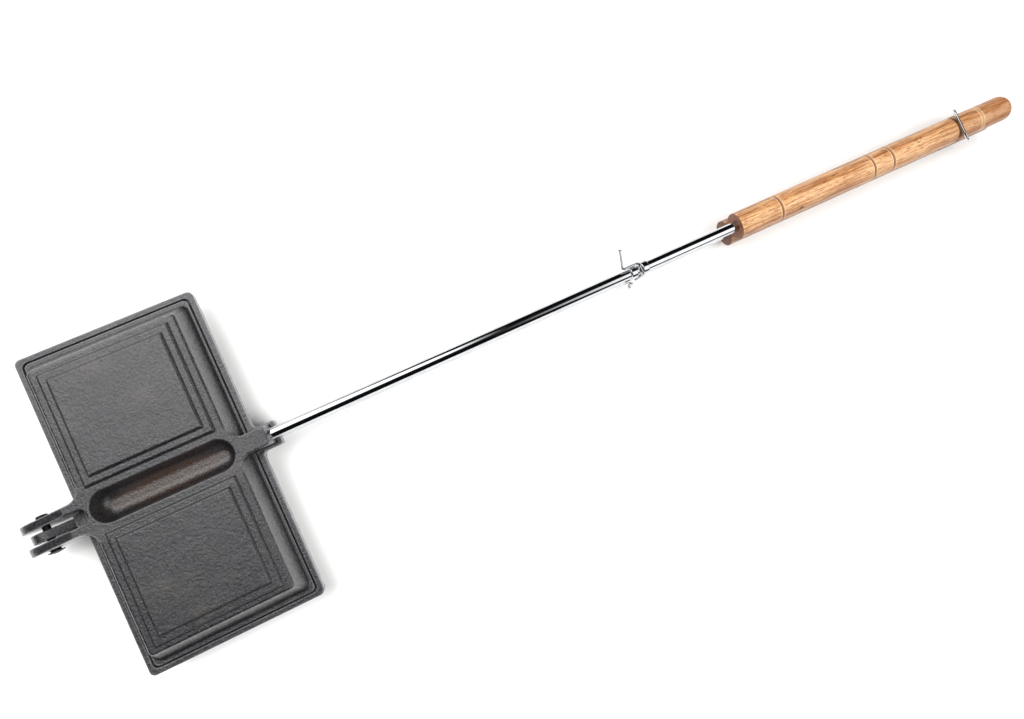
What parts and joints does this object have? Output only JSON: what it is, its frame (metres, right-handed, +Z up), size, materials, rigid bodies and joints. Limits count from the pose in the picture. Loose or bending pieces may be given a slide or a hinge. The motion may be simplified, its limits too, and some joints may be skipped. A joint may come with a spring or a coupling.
{
  "type": "double pie iron",
  "caption": "Long-handled double pie iron: hinged rectangular cast-iron shells with stepped panels and a trough, take-down chromed rods, turned wood handles and a wire latch.",
  "frame": {"origin": "bottom centre of the closed iron's bounding box, on the plane its lower casting lies on", "axes": "+X from the hinge along the rods to the handle tips, +Y across the head, +Z up, from the lower casting to the upper one"},
  "size_m": [0.758, 0.216, 0.05],
  "materials": {
    "casting_iron": "matte seasoned sand casting",
    "rod_chrome": "bright plated, polished",
    "ferrule_chrome": "bright plated, polished",
    "wire_chrome": "bright plated spring wire",
    "pin_steel": "dark oiled steel",
    "stud_steel": "plain turned steel",
    "handle_beech": "oiled turned beech"
  },
  "bodies": {
    "lower": {"lower_half": "casting_iron", "lower_front_rod": "rod_chrome", "lower_rear_rod": "rod_chrome", "lower_stud": "stud_steel", "lower_front_ferrule": "ferrule_chrome", "lower_rear_ferrule": "ferrule_chrome", "lower_socket_pin": "pin_steel", "lower_handle": "handle_beech"},
    "upper": {"upper_half": "casting_iron", "hinge_pin": "pin_steel", "hinge_cap": "pin_steel", "upper_front_rod": "rod_chrome", "upper_rear_rod": "rod_chrome", "upper_stud": "stud_steel", "upper_front_ferrule": "ferrule_chrome", "upper_rear_ferrule": "ferrule_chrome", "upper_socket_pin": "pin_steel", "upper_handle": "handle_beech"},
    "latch": {"latch_bail": "wire_chrome"},
    "keeper": {"rod_keeper": "wire_chrome"}
  },
  "joints": [
    {"name": "head_hinge", "type": "hinge", "parent": "lower", "child": "upper", "pos_m": [-0.3661, 0, 0.025], "axis": [0, -1, 0], "range_deg": [0, 180]},
    {"name": "latch_swing", "type": "hinge", "parent": "lower", "child": "latch", "pos_m": [0.3564, 0, 0.0153], "axis": [0, 1, 0], "range_deg": [0, 150]},
    {"name": "keeper_swing", "type": "hinge", "parent": "lower", "child": "keeper", "pos_m": [0.053, 0, 0.0153], "axis": [1, 0, 0], "range_deg": [0, 110]}
  ]
}
